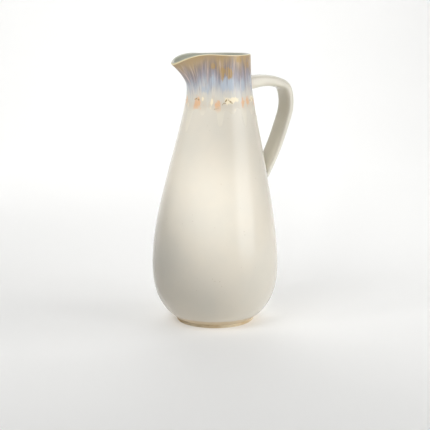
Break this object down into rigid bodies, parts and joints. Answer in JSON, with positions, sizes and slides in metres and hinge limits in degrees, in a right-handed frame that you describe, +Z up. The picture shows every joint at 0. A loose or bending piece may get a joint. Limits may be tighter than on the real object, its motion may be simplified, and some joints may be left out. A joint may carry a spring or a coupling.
{
  "type": "ceramic pitcher",
  "caption": "Tall pear-shaped glazed stoneware pitcher with a leaning neck, a pulled spout, a strap handle and a dripped second glaze round the neck.",
  "frame": {"origin": "centre of the foot ring on the standing plane", "axes": "+Z up, +X towards the handle, -X towards the spout, +Y across; X-Z is the mirror plane"},
  "size_m": [0.1648, 0.1368, 0.2897],
  "materials": {
    "stoneware": "bisque stoneware under the glaze",
    "bare_foot": "bare turned stoneware, dry and slightly rough",
    "outside_glaze": "glossy warm off-white glaze",
    "inside_glaze": "glossy pale grey-green glaze",
    "underside_glaze": "thin glossy amber glaze",
    "collar_glaze": "glossy reactive glaze, amber to lavender blue with rust flecks and pale drips"
  },
  "bodies": {
    "root": {"vessel_wall": "stoneware", "foot_ring": "bare_foot", "handle_strap": "stoneware", "handle_top_joint": "stoneware", "handle_bottom_joint": "stoneware", "outside_glaze": "outside_glaze", "inside_glaze": "inside_glaze", "underside_glaze": "underside_glaze", "collar_glaze": "collar_glaze", "handle_glaze": "outside_glaze"}
  },
  "joints": []
}
